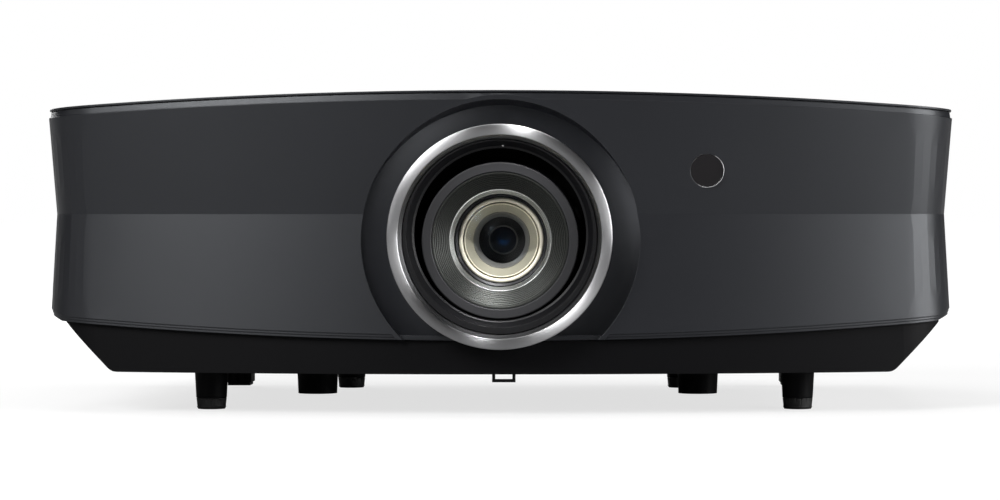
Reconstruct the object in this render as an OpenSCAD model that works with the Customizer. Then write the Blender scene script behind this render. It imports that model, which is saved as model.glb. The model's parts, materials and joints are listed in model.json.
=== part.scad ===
// Home theatre projector: a wide, crowned case with a waist crease, a large lens in a round
// dish, screw feet, and the light source, lens drive, fans and boards that it holds.
// Z is up, the lens looks along -Y, and the origin is on the ground under the middle.

/* [Case] */
// Width across the shoulders of the case
body_w = 498; // [480:1:530]
// Depth from the middle of the face to the rear posts
body_d = 319; // [312:1:350]
// Height from the underside to the crown of the top cover
case_h = 151.1; // [149:0.1:165]
// Radius of the front corners, seen from above
corner_r = 39; // [32:1:50]
// Radius of the rear corners, seen from above
rear_r = 12; // [11:1:16]
// Wall of the moulded covers
wall = 3; // [2.5:0.1:3.4]
// Gap at the joints between the covers
seam = 0.3; // [0.2:0.05:0.4]
// Height of the waist crease above the underside
waist_h = 85.3; // [75:0.5:95]
// How far the waist crease lies in from the shoulder
waist_in = 4.8; // [3:0.1:6]
// How far the hem lies in from the shoulder
hem_in = 0.9; // [0:0.1:1.5]
// Radius of the crown across the top cover
crown_r = 3600; // [3400:50:6000]
// Radius of the bow along the lower edge of the covers
bow_r = 3070; // [2900:50:6000]
// Height of the lower edge above the underside, at the middle
lip_h = 18; // [16:0.5:20]
// How far the rim under the top cover lies in from the face
rim_in = 0.9; // [0.7:0.1:1.2]
// Height of the rim, from the crown down to the face
rim_h = 4.7; // [4:0.1:5]
// Visible edge of the top cover
lid_edge = 1.1; // [0.9:0.1:1.4]
// Open joint under the edge of the top cover
lid_gap = 0.5; // [0.3:0.1:0.6]
// Thickness of the top cover
lid_t = 3.2; // [2.6:0.1:3.6]

/* [Lens opening] */
// Sideways place of the lens, feet and mounts from the middle of the case
core_x = 2; // [0:0.1:4]
// Height of the trim ring's axis above the underside
ring_h = 73.3; // [72:0.1:75]
// Outer radius of the trim ring
ring_r = 59.5; // [58:0.1:60.5]
// How far the trim ring stands out of the face
ring_proud = 12; // [9:0.5:14]
// Flat front of the trim ring
ring_flat = 5.5; // [4:0.1:6]
// Inner bevel of the trim ring
ring_bevel = 2.4; // [1.6:0.1:2.6]
// Radius of the dish round the trim ring
dish_r = 74.3; // [73:0.1:75]
// Depth of the dish behind the face
dish_deep = 14.4; // [13.6:0.1:15]
// Slope of the dish at its edge
dish_slope = 48; // [40:1:52]
// Slope of the roof of the dish, down towards the ring
roof_slope = 15; // [12:1:24]
// Radius of the opening that the lens looks through
eye_r = 45.5; // [45.4:0.1:46]
// Radius of the infrared window
ir_r = 8.8; // [6:0.1:10]
// Sideways place of the infrared window
ir_x = 112; // [105:1:125]
// Height of the infrared window above the underside
ir_h = 108.5; // [100:0.5:125]

/* [Lens] */
// Radius of the focus ring, which is the widest part of the lens
lens_r = 41.5; // [40.5:0.1:41.6]
// How far the lens front lies behind the trim ring's front
lens_sink = 8.5; // [7:0.5:9]
// Outer radius of the lens tube
tube_r = 35.9; // [35.5:0.1:36.2]
// Radius of the front glass
glass_r = 27; // [25:0.1:28]
// Steps in the baffle round the front glass
baffle_steps = 12; // [8:1:14]
// Upward travel of the lens shift
shift_travel = 6; // [4:0.5:6]
// Clearance of turning and sliding fits
run = 0.05; // [0.03:0.01:0.08]
// Radius of the two guide rods
rod_r = 4; // [3:0.5:5]

/* [Feet and mounts] */
// Height of the turning part of a foot
knob_h = 6; // [5:0.5:8]
// Height of the sleeve that a foot screws into
sleeve_h = 15.7; // [14:0.1:18]
// Radius of a sleeve at the case
sleeve_r = 9.3; // [8.5:0.1:10]
// Radius of the foot screws
stem_r = 4; // [3:0.5:4.5]
// Downward travel of a foot
foot_travel = 12; // [8:1:14]
// Half spacing of the front feet
front_foot_x = 161.7; // [150:0.5:170]
// Half spacing of the rear feet
rear_foot_x = 102; // [95:0.5:115]
// Half spacing of the front mounting bosses
boss_x = 108; // [104:0.5:120]
// Radius of a front mounting boss at the case
boss_r = 11.8; // [10:0.1:12.5]
// Half spacing of the rear mounting blocks
block_x = 171.4; // [165:0.1:175]
// Core radius of the M6 mounting threads
m6_r = 2.5; // [2.4:0.1:3]

/* [Hidden] */
$fn = 96;

// Colours of the finishes
case_black = [0.12, 0.125, 0.135];
deep_black = [0.05, 0.05, 0.055];
steel = [0.7, 0.71, 0.72];
bright_metal = [0.82, 0.82, 0.83];
gold = [0.78, 0.68, 0.45];
board_green = [0.08, 0.3, 0.16];
glass_blue = [0.35, 0.4, 0.5, 0.5];

// Heights
under_z = knob_h + seam + sleeve_h;
crown_z = under_z + case_h;
waist_z = under_z + waist_h;
ir_z = under_z + ir_h;
lip_z = under_z + lip_h;
ring_z = under_z + ring_h;
lens_z = ring_z - 2;
dish_z = ring_z - 1.4;
eye_z = lens_z + (shift_travel + 0.8)/2;
floor_t = 2.5;
rest_z = under_z + 9.5;
plate_t = 1.5;

// Plan: the face is an arc that turns into each corner arc along the direction turn
hw = body_w/2;
rear_y = (body_d + ring_proud)/2;
face_y = rear_y - body_d;
ring_front = face_y - ring_proud;
turn = [0.28, 0.96];
front_r = (hw - (1 - turn.x)*corner_r)/turn.x;
arc_y = face_y + front_r;
corner_x = hw - corner_r;
corner_y = arc_y - turn.y*(front_r - corner_r);
split_y = corner_y + 24;
shoulder_z = crown_z - hw*hw/(2*crown_r);
far = 700;
arc_fn = 720;
over = 4;

// Two fine steps along the hem, and the turned-in flange above them
hem_step = 0.6;
hem_h = 2.8;
hem_t = 2.4;
flange_in = hem_in + 2*hem_step + 1.2;

// Dish: an arc that starts at dish_slope and lies level where it reaches the ring
dish_skin = 2.5;
dish_floor_r = ring_r + 0.5;
dish_arc = (dish_r - dish_floor_r)/sin(dish_slope);

// Bottom case and what screws into it
tray_in = 6;
tray_half = hw - 37.5;
tray_flank = 26.5;
tray_round = 7;
tray_top = lip_z + 18;
boss_h = under_z - 5.6;
block_h = under_z - 1.4;
front_feet_y = face_y + 70.5;
rear_feet_y = rear_y - 29.5;
boss_y = face_y + 124.5;
block_y = rear_y - 25.5;
screw_r = 1.6;
screw_xy = [for (side = [-1, 1]) each [
    [side*(hw - 54), -60], [side*(hw - 54), 60], [side*60, rear_y - 45.5], [side*95, face_y + 35.5]
]];
bar_x = core_x + 1.5;
bar_half = 5.4;
bar_drop = 3.6;
bar_y = face_y + tray_in + 6;
bar_r = 0.85;

// Side vents: columns of slots along the side, in rows above and below the waist
vent_y0 = face_y + 111.5;
vent_len = 37;
vent_gap = 5;
vent_cols = 4;
vent_rows = 13;
vent_pitch = 6.4;
vent_slot = 3;

// Lens and its drive, from front to back
deck = rest_z + plate_t;
frame_y = face_y + 25.5;
frame_t = 4;
eye_in = 47.6;
rod_x_half = 60;
rod_y0 = frame_y + 15;
arm_z = crown_z - 15.5;
dial_y = rod_y0;
dial_r = 13;
dial_stem_r = 3;
nut_z = arm_z - shift_travel - 0.5;
lens_front = ring_front + lens_sink;
focus_back = lens_front + 16.3;
zoom_front = focus_back + 1.9;
zoom_back = zoom_front + 10.8;
cell_r = tube_r - 1.9;
seat_y = lens_front + 9.2;

// Door over the shift dial
door_w = 56;
door_d = 38;
door_front = dial_y - door_d/2;
hinge_y = dial_y + door_d/2 + 0.2;
hinge_r = 1.5;
hinge_z = crown_z - pow(core_x + door_w/2 + 4, 2)/(2*crown_r) - hinge_r - 0.15;
pin_r = 0.9;

// Light engine and lamp house
engine_y = face_y + 96;
engine_back = engine_y + 72;
engine_x = [core_x - 42, core_x + 58];
engine_wall = 4;
port_r = 12;
duct_y = engine_y + 30;
wheel_x = engine_x[1] + 64;
wheel_r = 32;
wheel_y = duct_y + 20;
wheel_t = 1.5;
axle_r = 1.5;
laser_half = 40;
laser_y = wheel_y + 36;
laser_d = 46;

// Fans
fan_side = 92;
fan_t = 25;
hub_r = 17;
spindle_r = 1.5;
fan_z = deck + fan_side/2;
intake_x = 51 - hw;
intake_y = face_y + 181.5;
exhaust_x = hw - 73;
exhaust_y = rear_y - 93.5;

// Rear panel, its buttons and sockets
panel_y = rear_y - 5;
panel_t = 3;
board_t = 1.6;
board_y = panel_y - 9.2;
main_y = panel_y - 23.5;
main_x = [-100, 140];
button_r = 3.6;
button_gap = 0.2;
button_lip = 1.4;
button_travel = 0.8;
dome_h = 0.8;
pad_x = 59 - hw;
pad_z = 112;
button_names = ["up", "down", "left", "right", "enter", "menu", "power"];
port_z = 82;
port_depth = 14;
port_proud = 0.6;
port_shell = 0.8;
port_row_z = [72, 96];
port_splits = [-26, 26, 86, 134];
port_plate_t = 1.2;
port_plate_lap = 3;
plate_y = panel_y - panel_t;
inlet_x = hw - 77;
inlet_z = 84;
inlet_cup = [28, 20];
port_row_x = [-78, inlet_x + 36];

// Speakers
speaker_x = hw - 99;
speaker_y = face_y + 37.5;
speaker_z = deck + 27;

// How far the outside of the covers lies out of the shoulder line, at one height
function lean(z) = z > waist_z
    ? -waist_in*(shoulder_z - z)/(shoulder_z - waist_z)
    : -hem_in - (waist_in - hem_in)*(z - lip_z)/(waist_z - lip_z);

// Section of a cover between two depths behind its outside, with the waist crease
module wall_profile(outer, inner) {
    top = crown_z + 2;
    low = lip_z - 3;
    polygon([
        [lean(top) - outer, top], [-waist_in - outer, waist_z], [lean(low) - outer, low],
        [lean(low) - inner, low], [-waist_in - inner, waist_z], [lean(top) - inner, top]
    ]);
}

// The plan of the face alone, and of the right front corner alone
module face_sector() {
    reach = (front_r + 30)/turn.y;
    linear_extrude(crown_z + 40) polygon([
        [-corner_x, corner_y], [-turn.x*reach, arc_y - turn.y*reach],
        [turn.x*reach, arc_y - turn.y*reach], [corner_x, corner_y]
    ]);
}
module corner_sector() {
    reach = (front_r + 30)/turn.y;
    linear_extrude(crown_z + 40) polygon([
        [corner_x, corner_y], [turn.x*reach, arc_y - turn.y*reach],
        [hw + 60, arc_y - turn.y*reach], [hw + 60, corner_y]
    ]);
}

// The face and front corners: a section carried round the front of the case to y_end
module sweep_front(y_end) {
    intersection() {
        translate([0, arc_y, 0]) rotate([0, 0, 90])
            rotate_extrude($fn = arc_fn) translate([front_r, 0]) children();
        face_sector();
    }
    for (m = [0, 1]) mirror([m, 0, 0]) {
        intersection() {
            translate([corner_x, corner_y, 0]) rotate([0, 0, 180])
                rotate_extrude() translate([corner_r, 0]) children();
            corner_sector();
        }
        translate([hw, y_end, 0]) rotate([90, 0, 0])
            linear_extrude(y_end - corner_y) children();
    }
}

// The straight side and rear post of the right side cover, with the same section
module sweep_side(y_start) {
    translate([hw, rear_y - rear_r, 0]) rotate([90, 0, 0])
        linear_extrude(rear_y - rear_r - y_start) children();
}

// Everything under the crowned top, lowered by drop
module crown(drop) {
    steps = 13;
    half = hw + 6;
    translate([0, far/2, 0]) rotate([90, 0, 0]) linear_extrude(far) polygon(concat(
        [[half, 0], [-half, 0]],
        [for (i = [-steps:steps]) let (x = half*i/steps) [x, crown_z - drop - x*x/(2*crown_r)]]
    ));
}

// Everything above the bowed lower edge, raised by rise, with its turned-up ends
module bow(rise) {
    steps = 12;
    end = hw - 11;
    function edge(x) = lip_z + rise + x*x/(2*bow_r);
    translate([0, far/2, 0]) rotate([90, 0, 0]) linear_extrude(far) polygon(concat(
        [[-hw - 6, edge(end) + 7], [-hw - 6, crown_z + 20], [hw + 6, crown_z + 20],
            [hw + 6, edge(end) + 7]],
        [for (i = [steps:-1:-steps]) let (x = end*i/steps) [x, edge(x)]]
    ));
}

// A solid block with the plan of the case, set in by inset
module plan_block(inset, z0, z1) {
    h = z1 - z0;
    intersection() {
        translate([0, arc_y, z0]) rotate([0, 0, 90]) cylinder(r = front_r - inset, h = h, $fn = arc_fn);
        face_sector();
    }
    for (m = [0, 1]) mirror([m, 0, 0]) {
        intersection() {
            translate([corner_x, corner_y, z0]) rotate([0, 0, 180]) cylinder(r = corner_r - inset, h = h);
            corner_sector();
        }
        translate([hw - rear_r, rear_y - rear_r, z0])
            rotate_extrude(angle = 90) square([rear_r - inset, h]);
    }
    span([-hw + inset, corner_y, z0], [hw - inset, rear_y - rear_r, z1]);
    span([-hw + rear_r, rear_y - rear_r - over, z0], [hw - rear_r, rear_y - inset, z1]);
}

// A turned shape about a fore-and-aft axis at height z: the profile gives radius and y
module turned(z) {
    translate([core_x, 0, z]) rotate([-90, 0, 0]) rotate_extrude($fn = 180) children();
}

// A rod along Y from y0 to y1
module rod_y(x, z, r, y0, y1) {
    translate([x, y0, z]) rotate([-90, 0, 0]) cylinder(r = r, h = y1 - y0);
}

// A box given by its two corners
module span(a, b) {
    translate(a) cube(b - a);
}

/* Covers */

// The section of the bottom case across its width, grown by grow, with rounded lower corners
module tray_section(grow, top) {
    mid = tray_half - tray_round*tan(22.5);
    turn_r = tray_round + grow;
    flank_x = tray_half + tray_flank + grow;
    right = concat(
        [for (a = [0:15:45]) [mid + turn_r*sin(a), under_z + tray_round - turn_r*cos(a)]],
        [[flank_x, under_z + tray_flank - grow*tan(22.5)], [flank_x, top]]
    );
    last = len(right) - 1;
    translate([core_x, far/2, 0]) rotate([90, 0, 0]) linear_extrude(far)
        polygon(concat(right, [for (i = [last:-1:0]) [-right[i].x, right[i].y]]));
}

// The outside of the bottom case, grown by grow
module tray_solid(grow) {
    top = tray_top + (grow > 0 ? 2 : 0);
    intersection() {
        plan_block(tray_in - grow, under_z - grow, top);
        tray_section(grow, top);
    }
}

// The room inside the bottom case
module tray_hollow() {
    top = tray_top + 2;
    intersection() {
        plan_block(tray_in + floor_t, under_z + floor_t, top);
        tray_section(-floor_t, top);
    }
}

// The turned-in hem that closes the covers onto the bottom case, for y between y0 and y1
module hem(y0, y1) {
    difference() {
        intersection() {
            plan_block(flange_in, lip_z - 2, lip_z + 24);
            bow(0);
            span([-hw, y0, 0], [hw, y1, crown_z]);
        }
        bow(hem_t);
        tray_solid(seam);
    }
}

// The step along the rim and the two along the hem, each cut with a swept strip of its own depth
module edge_steps() {
    difference() {
        children(0);
        crown(rim_h);
    }
    difference() {
        children(1);
        bow(hem_h);
    }
    difference() {
        children(2);
        bow(hem_h/2);
    }
}

// Half section of the dish, grown by grow: a straight wall, then the arc
module dish_profile(grow, y0) {
    y_arc = face_y + dish_deep - dish_arc;
    r = dish_arc + grow;
    steps = grow > 0 ? 3 : 12;
    polygon(concat(
        [[0, y0], [dish_r + grow, y0], [dish_r + grow, y_arc + dish_arc*cos(dish_slope)]],
        [for (i = [steps - 1:-1:0]) let (t = i*dish_slope/steps)
            [dish_floor_r + r*sin(t), y_arc + r*cos(t)]],
        [[0, y_arc + r]]
    ));
}

// The hollow of the dish, grown by grow: its roof is a tilted cylinder that meets the edge at the top
module dish(grow, y0) {
    intersection() {
        turned(dish_z) dish_profile(grow, y0);
        translate([core_x, face_y, dish_z - dish_r*pow(tan(roof_slope), 2)])
            rotate([-90 - roof_slope, 0, 0])
                cylinder(r = dish_r/cos(roof_slope) + grow, h = 180, center = true);
    }
}

module front_cover() {
    color(case_black) difference() {
        union() {
            difference() {
                intersection() {
                    sweep_front(split_y) wall_profile(0, wall);
                    crown(lid_edge + lid_gap);
                    bow(0);
                }
                edge_steps() {
                    sweep_front(split_y + 1) wall_profile(-over, rim_in);
                    sweep_front(split_y + 1) wall_profile(-over, hem_step);
                    sweep_front(split_y + 1) wall_profile(-over, 2*hem_step);
                }
                intersection() {
                    crown(rim_h);
                    dish(0, face_y - 20);
                }
            }
            intersection() {
                difference() {
                    dish(dish_skin, face_y - 8);
                    dish(0, face_y - 9);
                }
                sweep_front(split_y) wall_profile(0.02, dish_deep + 12);
                crown(lid_edge + lid_gap + 0.1);
                bow(0);
            }
            hem(face_y - 5, split_y);
        }
        rod_y(core_x, ring_z, ring_r + seam, ring_front, face_y + 60);
        rod_y(ir_x, ir_z, ir_r + 0.15, face_y - 10, face_y + 40);
        lid_seat();
    }
}

module ir_window() {
    color([0.03, 0.03, 0.035]) intersection() {
        sweep_front(split_y) wall_profile(0.02, 2);
        rod_y(ir_x, ir_z, ir_r, face_y - 10, face_y + 40);
    }
}

// The room that the thick part of the top cover takes, inside the walls
module lid_seat() {
    difference() {
        plan_block(wall, crown_z - 30, crown_z + 5);
        crown(lid_t + seam);
    }
}

// The top cover: a crowned lid whose thin edge lies on the rim of the other covers
module top_cover() {
    half = door_w/2 + 0.4;
    color(case_black) difference() {
        intersection() {
            plan_block(rim_in, crown_z - 30, crown_z + 5);
            crown(0);
        }
        crown(lid_t);
        difference() {
            crown(lid_edge);
            plan_block(wall + seam, crown_z - 30, crown_z + 5);
        }
        span([core_x - half, door_front - 0.4, crown_z - 20],
            [core_x + half, hinge_y + hinge_r + 0.8, crown_z + 20]);
        translate([core_x, hinge_y, hinge_z]) rotate([0, 90, 0])
            cylinder(r = pin_r + run, h = door_w + 6, center = true);
    }
}

module shift_door() {
    color(case_black) {
        difference() {
            intersection() {
                span([core_x - door_w/2, door_front, hinge_z - 5],
                    [core_x + door_w/2, hinge_y, crown_z + 5]);
                crown(0);
            }
            crown(2);
        }
        translate([core_x, hinge_y, hinge_z]) rotate([0, 90, 0]) {
            cylinder(r = hinge_r, h = door_w, center = true);
            cylinder(r = pin_r, h = door_w + 5, center = true);
        }
    }
}

module bottom_case() {
    sleeve_in = rest_z - under_z - 0.2;
    color(deep_black) difference() {
        union() {
            difference() {
                tray_solid(0);
                tray_hollow();
            }
            feet() cylinder(r = stem_r + 3, h = sleeve_in);
            feet() translate([0, 0, -sleeve_h])
                cylinder(r1 = sleeve_r - 0.9, r2 = sleeve_r, h = sleeve_h + 0.5);
            screws() translate([0, 0, floor_t/2])
                cylinder(r = 5, h = rest_z - under_z - floor_t/2);
            bosses() translate([0, 0, -boss_h])
                cylinder(r1 = boss_r - 0.8, r2 = boss_r, h = boss_h + 0.5);
            blocks() mounting_block();
        }
        feet() translate([0, 0, -sleeve_h - 1]) cylinder(r = stem_r + run, h = 60);
        bosses() translate([0, 0, -boss_h - 1]) cylinder(r = m6_r, h = 13);
        blocks() translate([0, 0, -block_h - 1]) cylinder(r = m6_r, h = 13);
        screws() translate([0, 0, -1]) {
            cylinder(r = screw_r + run, h = 20);
            cylinder(r = 3.5, h = 3.2);
        }
        rod_y(core_x, ring_z, ring_r + seam, ring_front, face_y + 60);
        intersection() {
            rod_y(core_x, dish_z, dish_r + dish_skin + seam, face_y, face_y + 60);
            bow(-seam);
        }
        bar_legs(bar_r + seam);
        rear_slots();
    }
}

// Slots in the rear wall of the bottom case
module rear_slots() {
    pitch = 14;
    slot = 5;
    for (i = [-5:5]) translate([core_x + i*pitch - slot/2, rear_y - 20, under_z + 9])
        cube([slot, 25, 17]);
}

module feet() {
    for (s = [-1, 1]) {
        translate([core_x + s*front_foot_x, front_feet_y, under_z]) children();
        translate([core_x + s*rear_foot_x, rear_feet_y, under_z]) children();
    }
}
module bosses() {
    for (s = [-1, 1]) translate([core_x + s*boss_x, boss_y, under_z]) children();
}
module blocks() {
    for (s = [-1, 1]) translate([core_x + s*block_x, block_y, under_z]) children();
}
module screws() {
    for (p = screw_xy) translate([core_x + p.x, p.y, under_z]) children();
}

// A ribbed block that takes a mounting screw at the rear
module mounting_block() {
    wide = 15.7;
    deep = 20;
    ribs = 4;
    rib_t = 2;
    core = [wide - rib_t, deep - rib_t];
    translate([-core.x/2, -core.y/2, -block_h]) cube([core.x, core.y, block_h + 0.5]);
    for (i = [0:ribs - 1]) translate([-wide/2 + i*core.x/(ribs - 1), -deep/2, -block_h + 2])
        cube([rib_t, deep, block_h - 1.5]);
}

// The side covers: s is -1 for the left one and 1 for the right one
module side_cover(s) {
    post = [[-rear_r, lip_z - 3], [lean(lip_z - 3), lip_z - 3], [-waist_in, waist_z],
        [lean(crown_z), crown_z], [-rear_r, crown_z]];
    color(case_black) difference() {
        union() {
            difference() {
                intersection() {
                    mirror([s < 0 ? 1 : 0, 0, 0]) {
                        sweep_side(split_y + seam) wall_profile(0, wall);
                        translate([hw - rear_r, rear_y - rear_r, 0])
                            rotate_extrude(angle = 90) translate([rear_r, 0]) polygon(post);
                    }
                    crown(lid_edge + lid_gap);
                    bow(0);
                }
                mirror([s < 0 ? 1 : 0, 0, 0]) edge_steps() {
                    sweep_side(split_y) wall_profile(-over, rim_in);
                    sweep_side(split_y) wall_profile(-over, hem_step);
                    sweep_side(split_y) wall_profile(-over, 2*hem_step);
                }
            }
            intersection() {
                hem(split_y + seam, rear_y - rear_r);
                span([s < 0 ? -hw : hw/2, split_y, 0], [s < 0 ? -hw/2 : hw, rear_y, crown_z]);
            }
        }
        tray_solid(seam);
        vents(s);
        lid_seat();
    }
}

// Slots of the side vents: the rows leave the waist crease free
module vents(s) {
    for (row = [0:vent_rows - 1], col = [0:vent_cols - 1]) {
        z = under_z + 36 + row*vent_pitch + (row > 6 ? 8 : 0);
        y = vent_y0 + col*(vent_len + vent_gap);
        translate([s*(hw - 8) - 12, y, z]) cube([24, vent_len, vent_slot]);
    }
}

module side_cover_left() { side_cover(-1); }
module side_cover_right() { side_cover(1); }

// A frame of four windows, with a web left in each for the filter mat
module dust_filter() {
    x = -hw + waist_in + wall + seam;
    thick = 6;
    web = 2;
    end = vent_y0 + vent_cols*(vent_len + vent_gap);
    color([0.25, 0.25, 0.27]) difference() {
        span([x, vent_y0 - 4, tray_top + seam], [x + thick, end - 1, crown_z - 22]);
        for (i = [0:vent_cols - 1], side = [-1, thick - web]) {
            y = vent_y0 + i*(vent_len + vent_gap);
            span([x + side, y, lip_z + 22], [x + side + web + 1, y + vent_len, crown_z - 27]);
        }
    }
}

/* Rear panel and its connections */

// Place of each button from the middle of the pad: a cross of four round enter, and two below
function button_place(name) =
    name == "up" ? [0, 12] : name == "down" ? [0, -12] :
    name == "left" ? [12, 0] : name == "right" ? [-12, 0] :
    name == "enter" ? [0, 0] : name == "menu" ? [-13, -24] : [13, 24];

// Sockets: x, z, width and height of each shell, and the thickness of its tongue
function port_list() = [
    [120, port_z, 15, 5.6, 1.2], [98, port_z, 15, 5.6, 1.2],
    [66, port_z + 2, 17, 9.4, 0], [38, port_z + 1, 14, 7, 2], [14, port_z + 3, 13.4, 11.2, 0],
    [-14, port_z + 2, 17, 9.4, 0]
];
// Round sockets: x, z and radius
function jack_list() = [for (i = [0:2]) [-38 - 16*i, port_z + 1, 3.1]];
jack_hole = 1.75;
port_gap = 0.3;

// A box across the width and height of a socket, grown by grow, between two depths
module port_block(p, grow, y0, y1) {
    half = [p[2]/2 + grow, p[3]/2 + grow];
    span([p[0] - half.x, y0, p[1] - half.y], [p[0] + half.x, y1, p[1] + half.y]);
}

module rear_panel() {
    y0 = panel_y - 9;
    y1 = panel_y + 1;
    color(deep_black) difference() {
        union() {
            intersection() {
                span([-hw + rear_r + seam, panel_y - panel_t, tray_top + seam],
                    [hw - rear_r - seam, panel_y, crown_z]);
                crown(lid_t + seam);
            }
            for (sx = [-1, 1], sz = [-1, 1])
                rod_y(pad_x + sx*24, pad_z + sz*30, 2.5, board_y + board_t, panel_y - panel_t + 0.5);
        }
        span([port_row_x[0], y0, port_row_z[0]], [port_row_x[1], y1, port_row_z[1]]);
        for (n = button_names) let (p = button_place(n))
            rod_y(pad_x + p.x, pad_z + p.y, button_r + button_gap, y0, y1);
        exhaust_slots(y0, y1);
    }
}

// Slots behind the exhaust fan
module exhaust_slots(y0, y1) {
    pitch = [17, 6.4];
    slot = [13, 3];
    for (row = [0:5], col = [0:5]) {
        x = exhaust_x - 81 + col*pitch.x;
        z = 115 + row*pitch.y;
        span([x, y0, z], [x + slot.x, y1, z + slot.y]);
    }
}

// A button: its cap, the collar that holds it behind the panel, and its plunger
module button(name) {
    p = button_place(name);
    x = pad_x + p.x;
    z = pad_z + p.y;
    back = panel_y - panel_t;
    color([0.16, 0.16, 0.17]) {
        rod_y(x, z, button_r, back - 1, panel_y + 1);
        rod_y(x, z, button_r + button_lip, back - button_lip, back - 0.3);
        rod_y(x, z, 1.5, board_y + board_t + dome_h + button_travel + 0.1, back - 1);
    }
}
module power_button() { button("power"); }
module menu_button() { button("menu"); }
module up_button() { button("up"); }
module down_button() { button("down"); }
module left_button() { button("left"); }
module right_button() { button("right"); }
module enter_button() { button("enter"); }

module keypad_board() {
    half = [28, 34];
    color(board_green) {
        span([pad_x - half.x, board_y, pad_z - half.y], [pad_x + half.x, board_y + board_t, pad_z + half.y]);
        for (n = button_names) let (p = button_place(n))
            rod_y(pad_x + p.x, pad_z + p.y, 2, board_y + board_t - 0.1, board_y + board_t + dome_h);
    }
}

// A connector shell, open to the rear, with its tongue and the block that it stands on
module socket(p) {
    front = plate_y + port_proud - port_depth;
    floor_y = plate_y - port_depth + 3;
    tongue = p[4];
    difference() {
        port_block(p, 0, front, plate_y + port_proud);
        port_block(p, -port_shell, floor_y, plate_y + 2);
    }
    if (tongue > 0)
        port_block([p[0], p[1], p[2] - 4.4, tongue], 0, floor_y - 1, plate_y - 1);
    port_block(p, 0, main_y + board_t, front + 0.1);
}

// Steel plates side by side, which close the window in the rear panel round the sockets and inlet
module port_plates() {
    ends = concat([port_row_x[0] - port_plate_lap], port_splits, [port_row_x[1] + port_plate_lap]);
    for (i = [0:len(ends) - 2]) difference() {
        span([ends[i] + seam/2, plate_y - port_plate_t, port_row_z[0] - port_plate_lap],
            [ends[i + 1] - seam/2, plate_y, port_row_z[1] + port_plate_lap]);
        for (p = port_list()) if (p[0] > ends[i] && p[0] < ends[i + 1])
            port_block(p, port_gap, plate_y - 3, plate_y + 1);
        for (p = jack_list()) if (p[0] > ends[i] && p[0] < ends[i + 1])
            rod_y(p[0], p[1], p[2] + port_gap, plate_y - 3, plate_y + 1);
        port_block([inlet_x, inlet_z, inlet_cup.x, inlet_cup.y], port_gap, plate_y - 3, plate_y + 1);
    }
}

module signal_ports() {
    color(steel) {
        for (p = port_list()) socket(p);
        for (p = jack_list()) difference() {
            rod_y(p[0], p[1], p[2], main_y + board_t, plate_y + port_proud);
            rod_y(p[0], p[1], jack_hole, plate_y - 12, plate_y + 1);
        }
        port_plates();
    }
}

// The inlet: a cup with three pins, and a wider flange that rests on the steel plate
module mains_inlet() {
    rim = 2;
    color(deep_black) {
        difference() {
            union() {
                port_block([inlet_x, inlet_z, inlet_cup.x, inlet_cup.y], 0, plate_y - 19, plate_y + 0.5);
                port_block([inlet_x, inlet_z, inlet_cup.x + 22, inlet_cup.y + 2], 0, plate_y, plate_y + 2.5);
            }
            port_block([inlet_x, inlet_z, inlet_cup.x, inlet_cup.y], -rim, plate_y - 15, plate_y + 5);
        }
        for (pin = [[-7, -2], [0, 2], [7, -2]])
            port_block([inlet_x + pin.x, inlet_z + pin.y, 2, 4], 0, plate_y - 16, plate_y - 0.5);
    }
}

/* Front trim */

// The ring has a small outer bevel, a flat front and a deeper inner bevel
module trim_ring() {
    inner = ring_r - ring_flat - ring_bevel;
    edge = 0.6;
    color(bright_metal) turned(ring_z) polygon([
        [ring_r, ring_front + edge], [ring_r - edge, ring_front], [ring_r - ring_flat, ring_front],
        [inner, ring_front + 1.5*ring_bevel], [inner, face_y + 18], [ring_r, face_y + 18]
    ]);
}

// The shroud narrows to a lip that stays clear of the lens over its whole shift
module lens_shroud() {
    outer = ring_r - ring_flat - ring_bevel - seam;
    front = ring_front + 3.2;
    lip = ring_front + 10.2;
    color(deep_black) difference() {
        turned(ring_z) polygon([[outer, front], [outer, frame_y], [0, frame_y], [0, front]]);
        turned(eye_z) polygon([
            [0, ring_front - 5], [outer - 0.6, ring_front - 5], [outer - 2.2, ring_front + 5],
            [eye_r + 1.2, lip - 0.7], [eye_r, lip], [eye_r, lip + 2.3], [eye_in, lip + 4.3],
            [eye_in, frame_y + 5], [0, frame_y + 5]
        ]);
    }
}

// The security bar: a bar below the case on two legs
module security_bar() {
    color(steel) {
        bar_legs(bar_r);
        translate([bar_x - bar_half - bar_r, bar_y - bar_r, under_z - bar_drop - bar_r])
            cube([2*(bar_half + bar_r), 2*bar_r, 2*bar_r]);
    }
}
module bar_legs(r) {
    for (s = [-1, 1]) translate([bar_x + s*bar_half, bar_y, under_z - bar_drop])
        cylinder(r = r, h = bar_drop + floor_t + 3);
}

module case_screws() {
    head_h = 1.6;
    color(steel) screws() translate([0, 0, 0.6]) {
        difference() {
            cylinder(r = 3.1, h = head_h);
            translate([0, 0, -0.6]) cylinder(r = 1.2, h = head_h - 0.1, $fn = 6);
        }
        translate([0, 0, head_h - 0.2]) cylinder(r = screw_r, h = 8.4);
    }
}

module chassis() {
    half = hw - 43;
    color(steel) difference() {
        intersection() {
            span([core_x - half, face_y + 31.5, rest_z], [core_x + half, rear_y - 19.5, rest_z + plate_t]);
            plan_block(tray_in + floor_t + 1, rest_z, rest_z + plate_t);
        }
        screws() cylinder(r = screw_r + run, h = 40);
    }
}

/* Feet */

// A plain screw from the foot up to the underside of the chassis
module stem() {
    low = knob_h/2;
    translate([0, 0, low - under_z]) cylinder(r = stem_r, h = rest_z - seam - low);
}

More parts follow.
